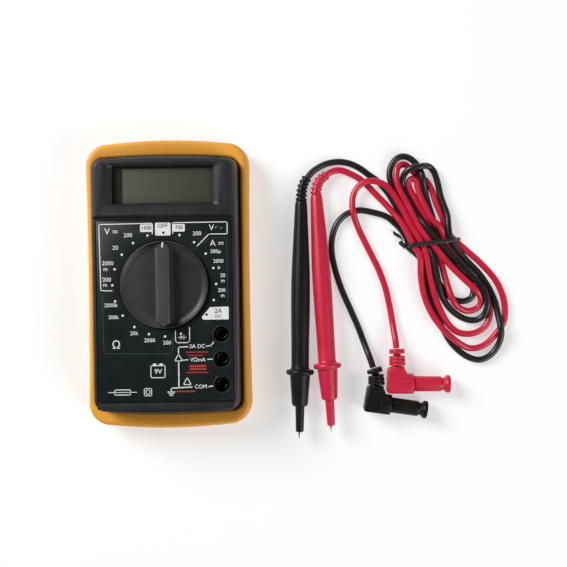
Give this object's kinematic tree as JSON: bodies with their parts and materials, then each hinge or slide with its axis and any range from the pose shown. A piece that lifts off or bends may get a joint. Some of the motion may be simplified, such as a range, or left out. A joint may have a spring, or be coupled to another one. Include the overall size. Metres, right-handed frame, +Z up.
{
  "type": "digital multimeter",
  "caption": "Pocket digital multimeter in a rubber holster, with a rotary range dial, display, three jacks and two test leads ending in probes and right-angle plugs.",
  "frame": {"origin": "under the middle of the holster, on the surface that the object lies on", "axes": "+Z up out of the meter's face, +Y towards the display end, +X to the right, towards the leads"},
  "size_m": [0.2065, 0.1463, 0.035],
  "materials": {
    "holster_rubber": "matte yellow-orange rubber",
    "case_plastic": "fine-textured black",
    "printed_plate": "satin black with white print",
    "dial_plastic": "satin dark grey",
    "clear_window": "clear polished",
    "display_glass": "grey-green display",
    "contact_rubber": "matte grey",
    "brass_parts": "plain brass",
    "steel_parts": "nickel-plated steel",
    "board": "green solder mask",
    "battery_can": "plain wrap",
    "fuse_glass": "clear glass",
    "capacitor_red": "dipped lacquer",
    "capacitor_blue": "blue sleeve",
    "black_plastic": "moulded black vinyl",
    "red_plastic": "moulded red vinyl",
    "black_lead": "black vinyl cord",
    "red_lead": "red vinyl cord"
  },
  "bodies": {
    "holster": {"holster": "holster_rubber"},
    "meter": {"rear_shell": "case_plastic", "front_shell": "case_plastic", "face_plate": "printed_plate", "display_window": "clear_window", "display_cell": "display_glass", "display_holder": "case_plastic", "display_contact_strip": "contact_rubber", "jack_com": "brass_parts", "jack_volt_ohm": "brass_parts", "jack_two_amp": "brass_parts", "circuit_board": "board", "board_screw_1": "steel_parts", "board_screw_2": "steel_parts", "board_screw_3": "steel_parts", "board_screw_4": "steel_parts", "case_screw_left": "steel_parts", "case_screw_right": "steel_parts", "nine_volt_battery": "battery_can", "battery_snap": "black_plastic", "battery_wire_red": "red_lead", "battery_wire_black": "black_lead", "fuse": "fuse_glass", "fuse_clip_left": "steel_parts", "fuse_clip_right": "steel_parts", "shunt_wire": "brass_parts", "converter_chip": "black_plastic", "calibration_trimmer": "capacitor_blue", "film_capacitor_1": "capacitor_red", "film_capacitor_2": "capacitor_red", "electrolytic_capacitor": "capacitor_blue"},
    "dial": {"range_dial": "dial_plastic", "detent_ball_right": "steel_parts", "detent_spring_right": "steel_parts", "detent_ball_left": "steel_parts", "detent_spring_left": "steel_parts", "contact_spring_inner": "brass_parts", "contact_spring_middle": "brass_parts", "contact_spring_outer": "brass_parts"},
    "test_leads": {"probe_black_handle": "black_plastic", "probe_black_needle": "steel_parts", "probe_black_strain_relief": "black_plastic", "probe_red_handle": "red_plastic", "probe_red_needle": "steel_parts", "probe_red_strain_relief": "red_plastic", "plug_black_body": "black_plastic", "plug_black_pin": "steel_parts", "plug_red_body": "red_plastic", "plug_red_pin": "steel_parts", "cord_black_probe_end": "black_lead", "cord_red_probe_end": "red_lead", "cord_red_plug_end": "red_lead", "cord_black_plug_end": "black_lead", "cord_hank": "red_lead", "twist_tie": "black_lead"},
    "cap_red": {"plug_red_cap": "red_plastic"},
    "cap_black": {"plug_black_cap": "black_plastic"}
  },
  "joints": [
    {"name": "meter_lift", "type": "slide", "parent": "holster", "child": "meter", "axis": [0, 0, 1], "range_m": [0, 0.04]},
    {"name": "dial_turn", "type": "hinge", "parent": "meter", "child": "dial", "pos_m": [0, 0, 0.024], "axis": [0, 0, 1], "continuous": true},
    {"name": "leads_lift", "type": "slide", "parent": "holster", "child": "test_leads", "axis": [0, 0, 1], "range_m": [0, 0.05]},
    {"name": "cap_red_pull", "type": "slide", "parent": "test_leads", "child": "cap_red", "axis": [0.9996, -0.03, 0], "range_m": [0, 0.02]},
    {"name": "cap_black_pull", "type": "slide", "parent": "test_leads", "child": "cap_black", "axis": [0.995, -0.0998, 0], "range_m": [0, 0.02]}
  ]
}
